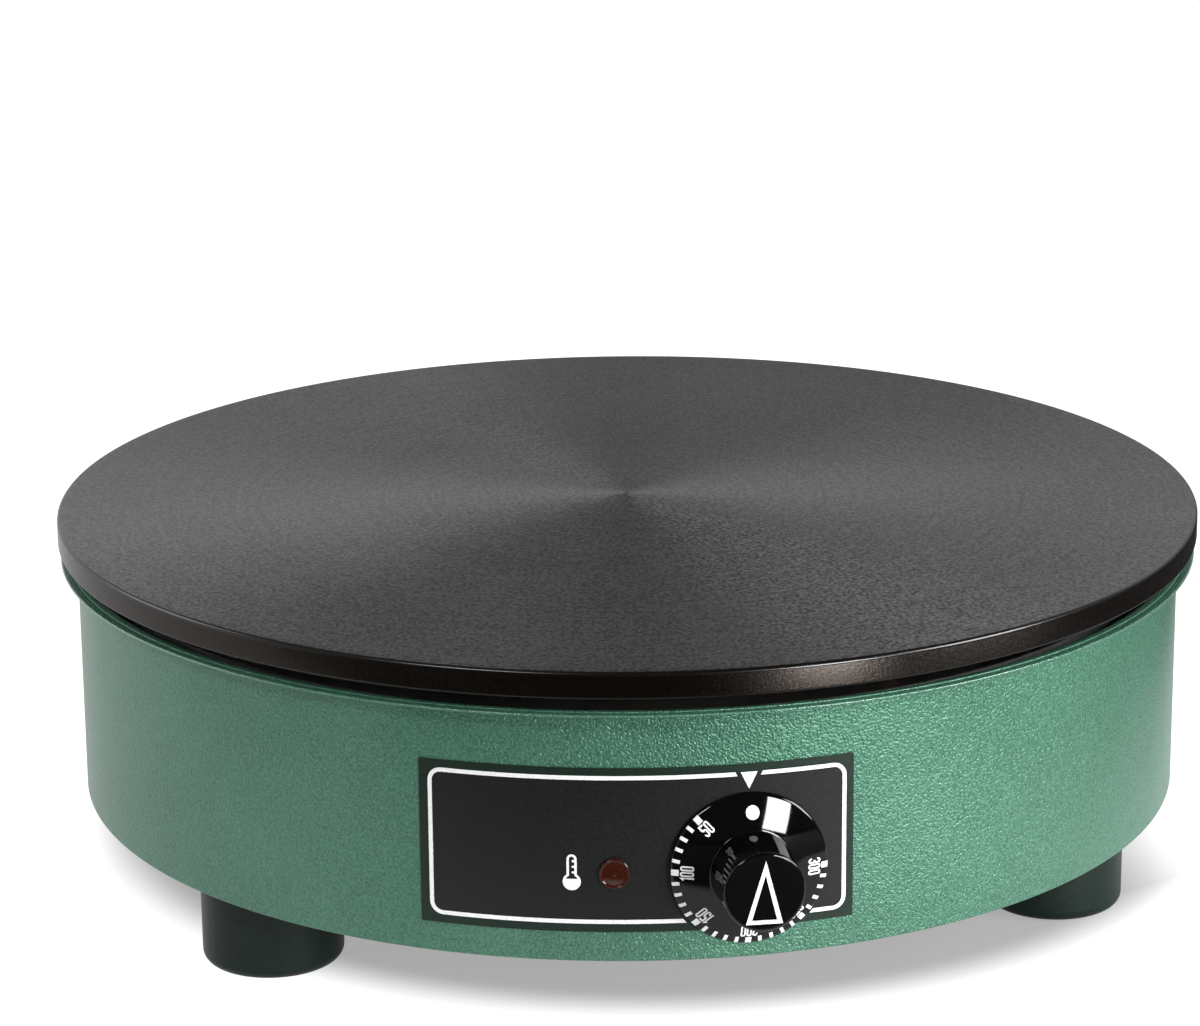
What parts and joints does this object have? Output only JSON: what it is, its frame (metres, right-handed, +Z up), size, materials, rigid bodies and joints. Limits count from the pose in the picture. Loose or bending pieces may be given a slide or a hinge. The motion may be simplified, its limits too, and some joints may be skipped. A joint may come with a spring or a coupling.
{
  "type": "electric crepe maker",
  "caption": "Round electric crepe maker: a flat cast-iron plate on a steel drum with feet, a thermostat dial and a pilot lamp.",
  "frame": {"origin": "on the floor, under the middle of the cooking plate", "axes": "+Z up, out of the cooking plate; the thermostat dial faces -Y and the cord gland +Y"},
  "size_m": [0.3999, 0.432, 0.133],
  "materials": {
    "cast_iron": "satin",
    "green_hammer_paint": "satin",
    "foot_rubber": "satin",
    "label_film": "satin",
    "amber_lens": "gloss",
    "knob_black": "gloss",
    "zinc_steel": "satin",
    "element_sheath": "matte",
    "aluminised_sheet": "satin",
    "ceramic_fibre": "matte",
    "white_ceramic": "matte",
    "brass_parts": "satin",
    "copper_parts": "satin",
    "gland_plastic": "satin",
    "seal_rubber": "matte",
    "white_plastic": "satin",
    "neon_glass": "gloss",
    "brown_insulation": "satin",
    "black_insulation": "satin",
    "blue_insulation": "satin",
    "green_insulation": "satin"
  },
  "bodies": {
    "casing": {"griddle_plate": "cast_iron", "plate_studs": "zinc_steel", "plate_nuts": "zinc_steel", "clamp_bars": "zinc_steel", "outer_element": "element_sheath", "inner_element": "element_sheath", "element_beads": "white_ceramic", "element_tabs": "zinc_steel", "heat_reflector": "aluminised_sheet", "insulation_pad": "ceramic_fibre", "insulation_tray": "aluminised_sheet", "stud_sleeves": "zinc_steel", "support_pillars": "zinc_steel", "pillar_nuts": "zinc_steel", "support_channel": "zinc_steel", "drum_shell": "green_hammer_paint", "base_cover": "zinc_steel", "cover_screws": "zinc_steel", "foot_left": "foot_rubber", "foot_right": "foot_rubber", "foot_rear": "foot_rubber", "foot_screws": "zinc_steel", "foot_washers": "zinc_steel", "foot_spacers": "zinc_steel", "foot_nuts": "zinc_steel", "control_label": "label_film", "lamp_lens": "amber_lens", "lamp_holder": "white_plastic", "lamp_neon": "neon_glass", "lamp_retainer": "zinc_steel", "thermostat_plate": "zinc_steel", "thermostat_body": "white_ceramic", "thermostat_bush": "brass_parts", "thermostat_screws": "zinc_steel", "thermostat_tabs": "zinc_steel", "sensor_bulb": "copper_parts", "capillary_tube": "copper_parts", "bulb_clip": "zinc_steel", "bulb_clip_screws": "zinc_steel", "gland_body": "gland_plastic", "gland_seal": "seal_rubber", "gland_cap": "gland_plastic", "gland_locknut": "gland_plastic", "terminal_block": "white_ceramic", "terminal_screws": "brass_parts", "earth_stud": "brass_parts", "earth_nuts": "brass_parts", "wire_live": "brown_insulation", "wire_switched": "black_insulation", "wire_neutral": "blue_insulation", "wire_earth": "green_insulation", "lamp_leads": "white_plastic"},
    "knob": {"thermostat_knob": "knob_black", "knob_face_cap": "knob_black", "knob_spring": "zinc_steel", "thermostat_shaft": "zinc_steel"}
  },
  "joints": [
    {"name": "knob_turn", "type": "hinge", "parent": "casing", "child": "knob", "pos_m": [0, -0.2, 0.0653], "axis": [0, 1, 0], "range_deg": [0, 270]}
  ]
}
